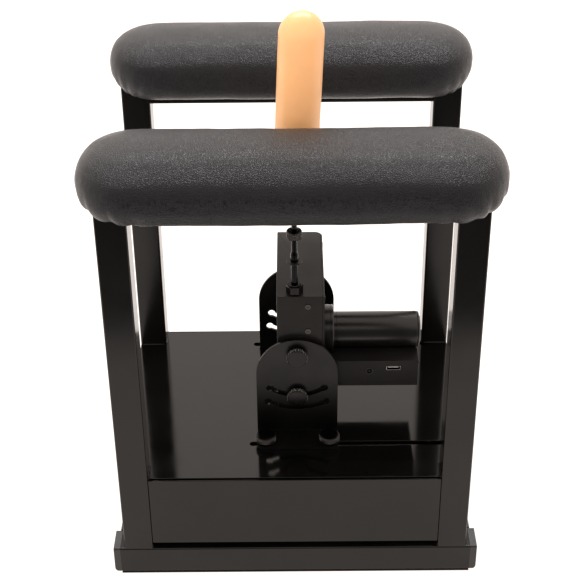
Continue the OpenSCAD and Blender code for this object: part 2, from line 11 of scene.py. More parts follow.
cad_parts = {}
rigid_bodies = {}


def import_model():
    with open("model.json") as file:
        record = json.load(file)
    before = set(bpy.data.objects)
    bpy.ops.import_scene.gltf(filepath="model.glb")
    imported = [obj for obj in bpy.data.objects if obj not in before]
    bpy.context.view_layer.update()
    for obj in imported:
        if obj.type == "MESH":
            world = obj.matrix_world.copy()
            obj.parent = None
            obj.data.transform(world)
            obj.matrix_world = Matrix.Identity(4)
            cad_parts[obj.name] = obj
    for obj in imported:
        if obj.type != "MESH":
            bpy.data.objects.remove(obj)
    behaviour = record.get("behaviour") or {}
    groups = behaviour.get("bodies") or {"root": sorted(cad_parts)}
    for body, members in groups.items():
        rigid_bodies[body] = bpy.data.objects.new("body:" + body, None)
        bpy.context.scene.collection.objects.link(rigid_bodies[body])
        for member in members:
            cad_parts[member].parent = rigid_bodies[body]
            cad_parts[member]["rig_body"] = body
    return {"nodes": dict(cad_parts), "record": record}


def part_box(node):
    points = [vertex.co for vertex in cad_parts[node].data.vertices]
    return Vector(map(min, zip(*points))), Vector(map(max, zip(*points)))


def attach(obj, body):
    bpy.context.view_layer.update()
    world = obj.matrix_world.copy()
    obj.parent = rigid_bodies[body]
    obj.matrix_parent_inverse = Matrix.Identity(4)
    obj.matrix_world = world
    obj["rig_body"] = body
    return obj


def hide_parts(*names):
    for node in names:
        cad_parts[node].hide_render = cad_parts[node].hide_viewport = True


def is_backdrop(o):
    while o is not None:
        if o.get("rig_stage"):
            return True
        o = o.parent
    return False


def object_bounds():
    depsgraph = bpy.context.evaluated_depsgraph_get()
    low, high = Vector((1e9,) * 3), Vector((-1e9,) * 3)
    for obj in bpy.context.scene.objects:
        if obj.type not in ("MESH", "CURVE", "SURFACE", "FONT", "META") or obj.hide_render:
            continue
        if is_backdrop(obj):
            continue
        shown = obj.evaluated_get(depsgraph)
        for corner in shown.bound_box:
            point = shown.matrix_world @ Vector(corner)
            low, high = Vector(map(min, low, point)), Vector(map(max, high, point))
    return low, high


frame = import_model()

NODES = frame["nodes"]
BODY = {n: o["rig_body"] for n, o in NODES.items()}
SLOT = {s["node"]: s["material_slot"] for s in frame["record"]["subparts"]}
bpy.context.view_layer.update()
MM = 0.001
scene = bpy.context.scene
scene.view_settings.view_transform = "Standard"


# ---------------------------------------------------------------- materials

class Shade:
    """A Principled material whose colour, roughness and relief are built from noise in object space."""

    def __init__(self, name, base, rough, metallic=0.0, specular=0.5):
        self.mat = bpy.data.materials.new(name)
        self.mat.use_nodes = True
        self.tree = self.mat.node_tree
        self.bsdf = self.tree.nodes["Principled BSDF"]
        self.set("Base Color", (*base, 1))
        self.set("Roughness", rough)
        self.set("Metallic", metallic)
        self.set("Specular IOR Level", specular)
        self.base = base
        self.coords = self.tree.nodes.new("ShaderNodeTexCoord").outputs["Object"]
        self.height = None

    def set(self, socket, value):
        self.bsdf.inputs[socket].default_value = value

    def node(self, kind, **inputs):
        made = self.tree.nodes.new(kind)
        for key, value in inputs.items():
            socket = made.inputs[key.replace("_", " ")]
            if isinstance(value, bpy.types.NodeSocket):
                self.tree.links.new(value, socket)
            else:
                socket.default_value = value
        return made

    def stretched(self, scale):
        return self.node("ShaderNodeMapping", Vector=self.coords, Scale=scale).outputs["Vector"]

    def noise(self, size, detail=2.0, coords=None):
        """Noise from 0 to 1 with blotches about size metres across."""
        made = self.node("ShaderNodeTexNoise", Vector=coords or self.coords, Scale=0.6 / size, Detail=detail)
        return made.outputs["Fac"]

    def range(self, value, low, high, out_low, out_high):
        made = self.node("ShaderNodeMapRange", Value=value)
        for key, number in zip(("From Min", "From Max", "To Min", "To Max"), (low, high, out_low, out_high)):
            made.inputs[key].default_value = number
        return made.outputs["Result"]

    def math(self, operation, a, b):
        made = self.tree.nodes.new("ShaderNodeMath")
        made.operation = operation
        for socket, value in zip(made.inputs, (a, b)):
            if isinstance(value, bpy.types.NodeSocket):
                self.tree.links.new(value, socket)
            else:
                socket.default_value = value
        return made.outputs[0]

    def colours(self, factor, dark, light):
        mix = self.tree.nodes.new("ShaderNodeMix")
        mix.data_type = "RGBA"
        self.tree.links.new(factor, mix.inputs["Factor"])
        mix.inputs["A"].default_value = (*dark, 1)
        mix.inputs["B"].default_value = (*light, 1)
        self.tree.links.new(mix.outputs["Result"], self.bsdf.inputs["Base Color"])

    def blotches(self, size, low, high, detail=3.0, coords=None):
        """Noise whose middle part is stretched to run from low to high."""
        return self.range(self.noise(size, detail, coords), 0.3, 0.7, low, high)

    def vary_colour(self, size, amount):
        dark = tuple(c * (1 - amount) for c in self.base)
        light = tuple(c * (1 + amount) for c in self.base)
        self.colours(self.blotches(size, 0, 1), dark, light)

    def vary_rough(self, size, low, high, coords=None):
        value = self.blotches(size, low, high, 4.0, coords)
        self.tree.links.new(value, self.bsdf.inputs["Roughness"])

    def relief(self, height, depth, strength=1.0):
        """Adds a bump of that height field, depth metres deep. Several calls stack."""
        bump = self.node("ShaderNodeBump", Height=height, Distance=depth, Strength=strength)
        if self.height is not None:
            self.tree.links.new(self.height, bump.inputs["Normal"])
        self.height = bump.outputs["Normal"]
        self.tree.links.new(self.height, self.bsdf.inputs["Normal"])


TOOL_MARKS = 0.000004


def paint(name, base, rough, spread, specular=0.5, peel_size=0.0018, peel=0.000006, wave=0.00002):
    """Black enamel or powder coat: a fine orange peel, a slow waviness and faint handling marks."""
    s = Shade(name, base, rough, specular=specular)
    s.vary_colour(0.03, 0.25)
    s.vary_rough(0.02, rough - spread, rough + spread)
    s.relief(s.noise(0.05, 1.0), wave)
    s.relief(s.noise(peel_size, 1.0), peel)
    return s.mat


def metal(name, base, rough, spread, brushed=None):
    """Bare or plated metal with fine tool marks, drawn out along one axis where brushed is given."""
    s = Shade(name, base, rough, metallic=1.0)
    s.vary_colour(0.008, 0.12)
    coords = s.stretched(brushed) if brushed else None
    s.vary_rough(0.004, rough - spread, rough + spread, coords=coords)
    s.relief(s.noise(0.0012, 2.0, coords), TOOL_MARKS)
    return s.mat


def worn(name, base, bare, rough):
    """Blackened steel, rubbed bare where a mesh's wear attribute says so, as on the tips of a knurl."""
    s = Shade(name, base, rough, metallic=1.0)
    wear = s.tree.nodes.new("ShaderNodeAttribute")
    wear.attribute_name = "wear"
    s.colours(wear.outputs["Fac"], base, bare)
    s.vary_rough(0.004, rough - 0.05, rough + 0.06)
    s.relief(s.noise(0.0012), TOOL_MARKS)
    return s.mat


def leather(name):
    """Soft imitation leather: pebbled grain with creases between the cells, and slow changes of sheen."""
    s = Shade(name, (0.0060, 0.0064, 0.0096), 0.30, specular=0.32)
    stray = s.node("ShaderNodeTexNoise", Vector=s.coords, Scale=700.0).outputs["Color"]
    warped = s.node("ShaderNodeMixRGB", Fac=0.0012, Color1=s.coords, Color2=stray).outputs["Color"]
    cells = s.node("ShaderNodeTexVoronoi", Vector=warped, Scale=640.0)
    cells.feature = "DISTANCE_TO_EDGE"
    pebble = s.range(cells.outputs["Distance"], 0.0, 0.28, 0.0, 1.0)
    # The colour is darkest in the creases between the cells: painted shade in the grain, varied by slow
    # random changes of tone.
    s.colours(s.math("MULTIPLY", pebble, s.blotches(0.03, 0.75, 1.0)),
              (0.0030, 0.0031, 0.0046), (0.0072, 0.0076, 0.0112))
    s.vary_rough(0.02, 0.27, 0.34)
    s.relief(s.noise(0.012), 0.00014)
    s.relief(pebble, 0.00026)
    s.relief(s.noise(0.0005), 0.00003, 0.7)
    return s.mat


def silicone(name):
    """Matt, slightly translucent silicone rubber with a soft sheen."""
    s = Shade(name, (0.93, 0.50, 0.225), 0.36, specular=0.45)
    s.set("Subsurface Weight", 0.18)
    s.set("Subsurface Radius", (1.0, 0.45, 0.25))
    s.set("Subsurface Scale", 0.004)
    s.vary_colour(0.018, 0.03)
    s.vary_rough(0.012, 0.32, 0.42)
    s.relief(s.noise(0.010, 1.0), 0.00008)
    s.relief(s.noise(0.0012), 0.00001)
    return s.mat


def moulded(name, base, rough, grain=0.0007, depth=0.00002):
    """Moulded plastic or rubber with a fine spark texture."""
    s = Shade(name, base, rough)
    s.vary_colour(0.006, 0.2)
    s.vary_rough(0.006, rough - 0.06, rough + 0.06)
    s.relief(s.noise(grain), depth)
    return s.mat


def plywood(name):
    """Plywood with its plies showing as fine bands along Z."""
    s = Shade(name, (0.42, 0.27, 0.14), 0.6)
    grain = s.stretched((0.04, 0.3, 1.0))
    plies = s.node("ShaderNodeTexWave", Vector=grain, Scale=170.0, Distortion=2.5, Detail=3.0)
    s.colours(plies.outputs["Fac"], (0.33, 0.20, 0.10), (0.50, 0.34, 0.19))
    s.vary_rough(0.005, 0.5, 0.7)
    s.relief(plies.outputs["Fac"], 0.00005)
    return s.mat


def laminate(name):
    """A green circuit board with faint copper runs under its coating."""
    s = Shade(name, (0.01, 0.10, 0.05), 0.35)
    runs = s.node("ShaderNodeTexVoronoi", Vector=s.coords, Scale=260.0)
    runs.distance = "MANHATTAN"
    s.colours(s.range(runs.outputs["Distance"], 0.3, 0.5, 0, 1), (0.008, 0.075, 0.04), (0.02, 0.16, 0.07))
    s.vary_rough(0.004, 0.28, 0.42)
    s.relief(runs.outputs["Distance"], 0.00004)
    return s.mat


MATERIALS = {
    "frame_paint": paint("frame_paint", (0.0030, 0.0027, 0.0024), 0.17, 0.03, specular=0.30),
    "deck_paint": paint("deck_paint", (0.0020, 0.0019, 0.0018), 0.09, 0.02, specular=0.48,
                        peel=0.000003, wave=0.00001),
    "drive_paint": paint("drive_paint", (0.0065, 0.0058, 0.0053), 0.40, 0.05, specular=0.22,
                         peel=0.000012),
    "bracket_paint": paint("bracket_paint", (0.0014, 0.0012, 0.0011), 0.34, 0.05, specular=0.32,
                           peel=0.000012),
    "motor_paint": paint("motor_paint", (0.0040, 0.0036, 0.0034), 0.30, 0.03, wave=0.000002),
    "black_steel": worn("black_steel", (0.022, 0.021, 0.021), (0.55, 0.54, 0.53), 0.16),
    "rod_black": metal("rod_black", (0.012, 0.012, 0.013), 0.20, 0.05),
    "bright_steel": metal("bright_steel", (0.58, 0.57, 0.55), 0.24, 0.07, brushed=(1, 1, 0.15)),
    "chrome": metal("chrome", (0.36, 0.35, 0.34), 0.16, 0.05),
    "cushion_cover": leather("cushion_cover"),
    "silicone": silicone("silicone"),
    "board": plywood("board"),
    "black_plastic": moulded("black_plastic", (0.006, 0.006, 0.006), 0.38),
    "foot_rubber": moulded("foot_rubber", (0.010, 0.010, 0.010), 0.72, grain=0.0012, depth=0.00005),
    "circuit": laminate("circuit"),
}

for name, obj in NODES.items():
    obj.data.materials.clear()
    obj.data.materials.append(MATERIALS[SLOT[name]])


# ---------------------------------------------------------------- making pieces

def piece(name, mesh, body, slot, replaces=()):
    """A finished mesh as a piece of the object."""
    mesh.materials.clear()
    mesh.materials.append(MATERIALS[slot])
    obj = bpy.data.objects.new(name, mesh)
    scene.collection.objects.link(obj)
    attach(obj, body)
    if replaces:
        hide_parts(*replaces)
    return obj


def mesh_of(name, points, faces):
    """A mesh from points and faces."""
    mesh = bpy.data.meshes.new(name)
    mesh.from_pydata([tuple(p) for p in points], [], faces)
    mesh.validate()
    mesh.update()
    return mesh


def smoothed(mesh, angle):
    """Smooth shading with edges sharper than angle degrees kept sharp."""
    mesh.shade_smooth()
    mesh.set_sharp_from_angle(angle=math.radians(angle))
    return mesh


def applied(obj):
    """The object's mesh with its modifiers, as a new mesh. The object goes away."""
    bpy.context.view_layer.update()
    graph = bpy.context.evaluated_depsgraph_get()
    mesh = bpy.data.meshes.new_from_object(obj.evaluated_get(graph))
    bpy.data.objects.remove(obj)
    return mesh


SHARP_ANGLE = math.radians(38.0)
FLAT_ANGLE = math.radians(0.6)


def softened(node, width, segments=2):
    """A copy of a CAD node with its sharp edges rounded by width millimetres. It stands for the node."""
    bm = bmesh.new()
    bm.from_mesh(NODES[node].data)
    bmesh.ops.remove_doubles(bm, verts=bm.verts, dist=2e-6)
    bmesh.ops.dissolve_limit(bm, angle_limit=FLAT_ANGLE, verts=bm.verts, edges=bm.edges)
    mesh = bpy.data.meshes.new(node + "_soft")
    bm.to_mesh(mesh)
    bm.free()
    mesh.shade_smooth()
    work = bpy.data.objects.new("work", mesh)
    scene.collection.objects.link(work)
    bevel = work.modifiers.new("edge", "BEVEL")
    bevel.width = width * MM
    bevel.segments = segments
    bevel.limit_method = "ANGLE"
    bevel.angle_limit = SHARP_ANGLE
    bevel.use_clamp_overlap = True
    bevel.miter_outer = "MITER_ARC"
    weighted = work.modifiers.new("normals", "WEIGHTED_NORMAL")
    weighted.weight = 100
    return piece("soft_" + node, applied(work), BODY[node], SLOT[node], [node])


def stitched(rows, around):
    """The faces between rings of point numbers. A ring of one point is a tip."""
    faces = []
    for low, high in zip(rows, rows[1:]):
        for i in range(around):
            j = (i + 1) % around
            corners = [low[i % len(low)], low[j % len(low)], high[j % len(high)], high[i % len(high)]]
            face = list(dict.fromkeys(corners))
            if len(face) > 2:
                faces.append(face)
    return faces


def in_mm(profile):
    """A profile given in millimetres, in metres."""
    return [(r * MM, z * MM) for r, z in profile]


def turned(name, profile, segments=96):
    """A closed solid of revolution about +Z from (radius, height) points, starting and ending on the axis."""
    points, rows = [], []
    for r, z in profile:
        if r < 1e-6:
            rows.append([len(points)])
            points.append((0, 0, z))
            continue
        rows.append(list(range(len(points), len(points) + segments)))
        for i in range(segments):
            a = 2 * math.pi * i / segments
            points.append((r * math.cos(a), r * math.sin(a), z))
    return mesh_of(name, points, stitched(rows, segments))


def placed(mesh, at, axis):
    """Turns a mesh's +Z to axis, and moves its origin to at."""
    turn = Vector(axis).to_track_quat("Z", "Y").to_matrix().to_4x4()
    mesh.transform(Matrix.Translation(at) @ turn)
    return mesh


def joined(name, meshes):
    """One mesh out of several, which go away."""
    bm = bmesh.new()
    for m in meshes:
        bm.from_mesh(m)
        bpy.data.meshes.remove(m)
    out = bpy.data.meshes.new(name)
    bm.to_mesh(out)
    bm.free()
    return out


# ---------------------------------------------------------------- painted steel

# The width of the rounded edges in millimetres, their segments, and the nodes that have them.
EDGES = (
    (0.25, 1, ("leg_front_left", "leg_front_right", "leg_rear_left", "leg_rear_right", "front_base_bar",
               "rear_base_bar", "side_runners", "front_top_bar", "rear_top_bar")),
    (0.4, 2, ("front_panel", "rear_panel", "side_panels", "deck_plate", "base_bar_caps")),
    (0.3, 2, ("foot_pads",)),
    (0.45, 2, ("front_bracket", "rear_bracket")),
    (0.5, 2, ("drive_housing", "housing_cover", "control_box", "control_box_lid", "control_box_base")),
    (0.15, 1, ("power_inlet", "port_socket", "housing_screws")),
    (0.4, 2, ("friction_discs", "rod_gland", "clamp_strips")),
)
SCREW_WEAR = 0.06

for width, segments, nodes in EDGES:
    for node in nodes:
        softened(node, width, segments)


def give_wear(mesh, values):
    """Writes the attribute that the worn material reads."""
    mesh.attributes.new("wear", "FLOAT", "POINT").data.foreach_set("value", values)


heads = bpy.data.objects["soft_housing_screws"].data
give_wear(heads, [SCREW_WEAR] * len(heads.vertices))


# ---------------------------------------------------------------- knobs and collar

def saw(t):
    """A triangle wave of t, from 1 at whole numbers to 0 half way between them."""
    return abs((t % 1.0) - 0.5) * 2


def knurl_depth(a, z, teeth, pitch):
    """How far a diamond knurl is cut in at angle a and height z, from 0 on a tip to 1 in a groove."""
    u = teeth * a / (2 * math.pi)
    v = z / pitch
    return 1 - min(saw(u + v), saw(u - v))


def knurled(name, radius, low, high, chamfer, teeth, depth, columns, rows, bore=0.0):
    """A knurled drum about +Z with chamfered ends. With a bore it is a ring, otherwise it is closed."""
    steps = 4
    profile = [(bore, low, 0), (radius - chamfer, low, 0)]
    for k in range(1, steps):
        share = k / steps
        profile.append((radius - chamfer * (1 - share), low + chamfer * share, share))
    for k in range(rows + 1):
        profile.append((radius, low + chamfer + (high - low - 2 * chamfer) * k / rows, 1))
    for k in range(1, steps):
        share = k / steps
        profile.append((radius - chamfer * share, high - chamfer * (1 - share), 1 - share))
    profile += [(radius - chamfer, high, 0), (bore, high, 0)]
    points, ids, wear = [], [], []
    pitch = (high - low) / 3
    for r, z, share in profile:
        if r < 1e-7:
            ids.append([len(points)])
            points.append((0, 0, z))
            wear.append(0.0)
            continue
        ids.append(list(range(len(points), len(points) + columns)))
        for i in range(columns):
            a = 2 * math.pi * i / columns
            groove = knurl_depth(a, z, teeth, pitch)
            cut = r - share * depth * groove
            points.append((cut * math.cos(a), cut * math.sin(a), z))
            wear.append(share * (1 - groove) ** 4)
    if bore:
        # The wall of the bore closes the ring.
        ids.append(ids[0])
    mesh = smoothed(mesh_of(name, points, stitched(ids, columns)), 7)
    give_wear(mesh, wear)
    return mesh


# Millimetres.
FACE_KNOB_HEAD = 8.0
FOOT_KNOB_HEAD = 9.0
STUD_R = 3.0
LOCK_STUD_R = 2.5


def knob(node, axis, head):
    """A knurled knob with a plain washer under it and its stud. Its outer face lies along axis.

    The head is the height of drum and washer in millimetres."""
    low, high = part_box(node)
    axis = Vector(axis)
    half = abs((high - low).dot(axis)) / 2
    seat = (low + high) / 2 + axis * (half - head * MM)
    radius = max(high[k] - low[k] for k in range(3) if abs(axis[k]) < 0.5) / 2
    drum = knurled("drum", radius, 1.5 * MM, head * MM, 1.6 * MM, 22, 1.1 * MM, 264, 14)
    washer = smoothed(turned("washer", in_mm([(0, 0), (8.0, 0), (8.3, 0.3), (8.3, 1.2), (7.6, 1.6),
                                              (0, 1.6)])), 30)
    rim = radius / MM - 2.2
    dimple = smoothed(turned("dimple", in_mm([(0, head - 0.2), (rim, head - 0.2), (rim - 0.2, head + 0.12),
                                              (0, head + 0.2)])), 30)
    stud_r = LOCK_STUD_R if node.startswith("lock") else STUD_R
    stud_l = 2 * half / MM - head
    stud = smoothed(turned("stud", in_mm([(0, -stud_l), (stud_r - 0.5, -stud_l), (stud_r, -stud_l + 0.5),
                                          (stud_r, 0.5), (0, 0.5)])), 30)
    mesh = placed(joined(node + "_mesh", [drum, washer, dimple, stud]), seat, axis)
    return piece("knurled_" + node, mesh, BODY[node], SLOT[node], [node])


for side, axis in (("front", (0, -1, 0)), ("rear", (0, 1, 0))):
    knob("pivot_knob_" + side, axis, FACE_KNOB_HEAD)
    knob("lock_knob_" + side, axis, FACE_KNOB_HEAD)
    for hand in ("left", "right"):
        knob(f"foot_knob_{side}_{hand}", (0, 0, 1), FOOT_KNOB_HEAD)

low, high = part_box("lock_collar")
height = high.z - low.z
collar = knurled("collar", 8 * MM, 0, height, 0.8 * MM, 26, 0.6 * MM, 208, 12, bore=4.55 * MM)
collar.transform(Matrix.Translation(((low.x + high.x) / 2, (low.y + high.y) / 2, low.z)))
piece("knurled_collar", collar, BODY["lock_collar"], SLOT["lock_collar"], ["lock_collar"])


# ---------------------------------------------------------------- motor, gearhead and rod

def length_of(node, axis):
    """The length of a CAD node along axis, in millimetres."""
    low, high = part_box(node)
    return (high - low).dot(Vector(axis)) / MM


def turned_node(node, axis, profile):
    """A finely turned copy of a CAD node. The profile, in millimetres, runs along axis from its low end."""
    low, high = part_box(node)
    axis = Vector(axis)
    middle = (low + high) / 2
    start = middle - axis * ((high - low).dot(axis) / 2)
    mesh = smoothed(turned(node + "_mesh", in_mm(profile), 128), 32)
    return piece("turned_" + node, placed(mesh, start, axis), BODY[node], SLOT[node], [node])


turned_node("gearhead", (1, 0, 0), [(0, 0), (26.6, 0), (27, 0.4), (27, 6.6), (26.7, 6.9), (26.7, 7.3),
                                    (27, 7.6), (27, 9.4), (26.2, 10.5), (20.2, 10.5), (20.2, 10.3),
                                    (0, 10.3)])
motor_l = length_of("motor_body", (1, 0, 0))
turned_node("motor_body", (1, 0, 0), [(0, 0), (19.2, 0), (19.5, 0.3), (19.5, 2.6), (19.3, 2.8), (19.3, 3.2),
                                      (19.5, 3.4), (19.5, motor_l - 0.6), (19.2, motor_l), (0, motor_l)])
turned_node("motor_end_cap", (1, 0, 0), [(0, 0), (18.7, 0), (18.7, 0.5), (19.1, 0.7), (19.1, 1.8),
                                         (18.4, 2.4), (15.4, 2.5), (14.9, 2.8), (14.6, 3.4), (14.0, 3.7),
                                         (6.2, 3.7), (5.8, 4.0), (0, 4.0)])
for node in ("drive_rod", "rod_disc", "rod_coupler", "attachment_stem"):
    softened(node, 0.2, 2)


# ---------------------------------------------------------------- weld beads

BEAD_STEP = 0.5 * MM
RIPPLE_PITCH = 1.7 * MM


def bead(start, end, radius, seed):
    """A hand-laid weld bead with overlapping ripples, from start to end."""
    start, end = Vector(start), Vector(end)
    length = (end - start).length
    along = (end - start).normalized()
    side = along.orthogonal().normalized()
    up = along.cross(side)
    rows = max(8, int(length / BEAD_STEP))
    around = 12
    points, faces = [], []
    for k in range(rows + 1):
        t = k / rows
        ends = min(1.0, math.sqrt(max(0.0, 1 - abs(2 * t - 1) ** 6)) + 0.02)
        ripple = 1 + 0.10 * ((t * length / RIPPLE_PITCH) % 1.0)
        ripple += 0.12 * noise.noise(Vector((t * length * 180, seed, 0.3)))
        centre = start + along * (length * t)
        for i in range(around):
            a = 2 * math.pi * i / around
            points.append(centre + (side * math.cos(a) + up * math.sin(a)) * (radius * ends * ripple))
    for k in range(rows):
        for i in range(around):
            j = (i + 1) % around
            faces.append((k * around + i, k * around + j, (k + 1) * around + j, (k + 1) * around + i))
    faces.append(tuple(reversed(range(around))))
    faces.append(tuple(rows * around + i for i in range(around)))
    return smoothed(mesh_of("bead", points, faces), 60)


DECK_BEAD_R, DECK_INSET = 1.3 * MM, 2 * MM
FOOT_BEAD_R, FOOT_INSET = 1.4 * MM, 3 * MM

beads = []
deck_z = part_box("deck_plate")[1].z
for sx in (-1, 1):
    for sy in (-1, 1):
        low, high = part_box(f"leg_{'front' if sy < 0 else 'rear'}_{'left' if sx < 0 else 'right'}")
        inner_x = high.x if sx < 0 else low.x
        outer_x = low.x if sx < 0 else high.x
        inner_y = high.y if sy < 0 else low.y
        deck_y = (low.y + DECK_INSET, high.y - DECK_INSET)
        deck_x = (low.x + DECK_INSET, high.x - DECK_INSET)
        foot_y = (low.y + FOOT_INSET, high.y - FOOT_INSET)
        runs = (
            [(inner_x, y, deck_z) for y in deck_y] + [DECK_BEAD_R],
            [(x, inner_y, deck_z) for x in deck_x] + [DECK_BEAD_R],
            [(outer_x, y, low.z) for y in foot_y] + [FOOT_BEAD_R],
            [(inner_x, y, low.z) for y in foot_y] + [FOOT_BEAD_R],
        )
        for k, (start, end, radius) in enumerate(runs):
            beads.append(bead(start, end, radius, 3 * sx + sy + 5 + k))
piece("frame_welds", joined("frame_welds", beads), "frame", "frame_paint")


# ---------------------------------------------------------------- bolsters

# A bolster's rings: how many along its straight body, and where they are on its rounded ends, in degrees.
BODY_RINGS = 56
END_ANGLES = (86, 78, 70, 61, 52, 43, 34, 26, 17, 8)


def superellipse(a, n):
    """One coordinate of a superellipse of power n, from the sine or cosine a of the angle."""
    return math.copysign(abs(a) ** (2 / n), a)


def loft(length, depth, height, end, around=72):
    """A closed bolster along X about the origin: superellipse rings that shrink over the two rounded ends."""
    body = length / 2 - end
    inner = [-body + 2 * body * k / BODY_RINGS for k in range(BODY_RINGS + 1)]
    angles = [math.radians(a) for a in END_ANGLES]
    left = [(-body - end * math.sin(a), math.sin(a)) for a in angles]
    right = [(body + end * math.sin(a), math.sin(a)) for a in reversed(angles)]
    points, faces = [], []
    stations = left + [(x, 0.0) for x in inner] + right
    for x, s in stations:
        wide = max(0.22, (1 - s ** 2.4) ** (1 / 2.4))
        tall = max(0.22, (1 - s ** 2.6) ** (1 / 2.6))
        tuck = max(0.0, 1 - (length / 2 - abs(x)) / (0.8 * end))
        deep = max(0.12, math.sqrt(1 - tuck ** 2))
        for i in range(around):
            a = 2 * math.pi * i / around
            n, rise = (2.9, deep) if math.sin(a) < 0 else (2.3, tall)
            points.append((x, depth / 2 * wide * superellipse(math.cos(a), n),
                           height / 2 * rise * superellipse(math.sin(a), n)))
    for k in range(len(stations) - 1):
        for i in range(around):
            j = (i + 1) % around
            faces.append((k * around + i, (k + 1) * around + i, (k + 1) * around + j, k * around + j))
    faces.append(tuple(range(around)))
    faces.append(tuple((len(stations) - 1) * around + i for i in reversed(range(around))))
    return mesh_of("bolster", points, faces)


def coordinates(mesh):
    """The mesh's vertices as an array of rows."""
    co = np.empty(len(mesh.vertices) * 3)
    mesh.vertices.foreach_get("co", co)
    return co.reshape(-1, 3)


def put(mesh, co):
    """Moves the mesh's vertices to these rows."""
    mesh.vertices.foreach_set("co", co.ravel())
    mesh.update()


def normals_of(mesh):
    """The vertex normals as an array of rows."""
    out = np.empty(len(mesh.vertices) * 3)
    mesh.vertices.foreach_get("normal", out)
    return out.reshape(-1, 3)


def around_each(mesh):
    """A function that gives the mean of a field over each vertex's neighbours."""
    edges = np.empty(len(mesh.edges) * 2, int)
    mesh.edges.foreach_get("vertices", edges)
    edges = edges.reshape(-1, 2)
    count = np.bincount(edges.ravel(), minlength=len(mesh.vertices)).astype(float)[:, None]

    def mean(field):
        total = np.zeros_like(field)
        np.add.at(total, edges[:, 0], field[edges[:, 1]])
        np.add.at(total, edges[:, 1], field[edges[:, 0]])
        return total / count

    return mean


def relaxed(mesh, passes):
    """Laplacian smoothing, shrinking and growing in turn so that the volume stays."""
    mean = around_each(mesh)
    co = coordinates(mesh)
    for k in range(passes * 2):
        factor = 0.5 if k % 2 == 0 else -0.52
        co = co + factor * (mean(co) - co)
    put(mesh, co)


def remeshed(mesh, size):
    """The surface made anew with even quads about size across, then smoothed."""
    work = bpy.data.objects.new("work", mesh)
    scene.collection.objects.link(work)
    change = work.modifiers.new("remesh", "REMESH")
    change.mode = "VOXEL"
    change.voxel_size = size
    out = applied(work)
    relaxed(out, 6)
    return out


def spread(mesh, field, passes):
    """Evens out a field of vectors over a mesh, so that it bends the surface only gently."""
    mean = around_each(mesh)
    for _ in range(passes):
        field = 0.5 * field + 0.5 * mean(field)
    return field


# The stapled strip under a cushion: its height above the lowest point, and half its width.
STAPLE_RISE, STAPLE_HALF = 0.003, 0.034
CLOTH_FRAMES = 20


def inflated(mesh, cap):
    """Cloth under inner pressure, held by the staple line under the board.

    The move of each vertex is cut to cap, and the moves are then evened out over the surface."""
    start = coordinates(mesh)
    work = bpy.data.objects.new("work", mesh)
    scene.collection.objects.link(work)
    held = work.vertex_groups.new(name="staples")
    low = start[:, 2].min()
    under = (start[:, 2] < low + STAPLE_RISE) & (np.abs(start[:, 1]) < STAPLE_HALF)
    held.add([int(i) for i in np.nonzero(under)[0]], 1.0, "REPLACE")
    cloth = work.modifiers.new("cloth", "CLOTH")
    settings = cloth.settings
    settings.quality = 6
    settings.mass = 0.25
    settings.tension_stiffness = 12
    settings.compression_stiffness = 12
    settings.shear_stiffness = 6
    settings.bending_stiffness = 0.8
    settings.use_pressure = True
    settings.uniform_pressure_force = 4.0
    settings.effector_weights.gravity = 0.0
    settings.vertex_group_mass = "staples"
    cloth.collision_settings.use_collision = False
    cloth.point_cache.frame_start = 1
    cloth.point_cache.frame_end = CLOTH_FRAMES
    for f in range(1, CLOTH_FRAMES + 1):
        scene.frame_set(f)
    out = applied(work)
    scene.frame_set(1)
    moved = coordinates(out) - start
    size = np.linalg.norm(moved, axis=1, keepdims=True)
    moved = spread(out, moved * np.minimum(1, cap / np.maximum(size, 1e-9)), 60)
    put(out, start + moved)
    relaxed(out, 8)
    return out


def subdivided(mesh):
    """The mesh with one level of smooth subdivision."""
    work = bpy.data.objects.new("work", mesh)
    scene.collection.objects.link(work)
    change = work.modifiers.new("subdivide", "SUBSURF")
    change.levels = change.render_levels = 1
    return applied(work)


def split_where(mesh, wanted):
    """Splits the quads that have all corners in wanted once more, for the pleats."""
    bm = bmesh.new()
    bm.from_mesh(mesh)
    bm.verts.ensure_lookup_table()
    edges = [e for e in bm.edges if wanted[e.verts[0].index] and wanted[e.verts[1].index]]
    bmesh.ops.subdivide_edges(bm, edges=edges, cuts=1, use_grid_fill=True, smooth=0.0)
    out = bpy.data.meshes.new("split")
    bm.to_mesh(out)
    bm.free()
    return out


def step(value, low, high):
    """A soft step of an array from 0 at low to 1 at high."""
    t = np.clip((value - low) / (high - low), 0, 1)
    return t * t * (3 - 2 * t)


def slow_noise(co, size, seed):
    """Smooth noise from -1 to 1 at each point, with swells about size metres across."""
    shift = Vector((seed, seed * 1.7, seed * 0.3))
    return np.array([noise.noise(Vector(p) / size + shift) for p in co])


# Folds round each leg: (azimuth about the leg in degrees, half width in degrees, depth in millimetres).
# Azimuth 0 points at +X and 270 at the front.
FOLDS = {
    "front_left": [(256, 4, 2.4), (276, 3, 1.2), (238, 4.5, 1.1), (214, 5, 1.2), (190, 5, 1.2),
                   (166, 5, 1.6), (142, 5, 1.6), (118, 5, 1.6), (98, 4, 1.4), (292, 3, 0.7)],
    "front_right": [(272, 3, 1.4), (293, 4, 2.4), (262, 3, 1.1), (312, 5, 1.3), (336, 5, 1.2),
                    (0, 5, 1.4), (24, 5, 1.6), (48, 5, 1.6), (72, 4, 1.5), (250, 3, 0.6)],
    "rear_left": [(262, 4, 1.6), (244, 4.5, 2.0), (222, 5, 1.8), (199, 5, 2.0), (174, 5, 1.8),
                  (150, 5, 1.8), (124, 5, 1.8), (100, 4, 1.5), (280, 3.5, 0.9)],
    "rear_right": [(283, 4.5, 2.6), (266, 3.5, 1.2), (303, 4.5, 1.6), (326, 5, 1.8), (350, 5, 2.0),
                   (16, 5, 1.8), (42, 5, 1.8), (66, 5, 1.6), (88, 4, 1.3)],
}

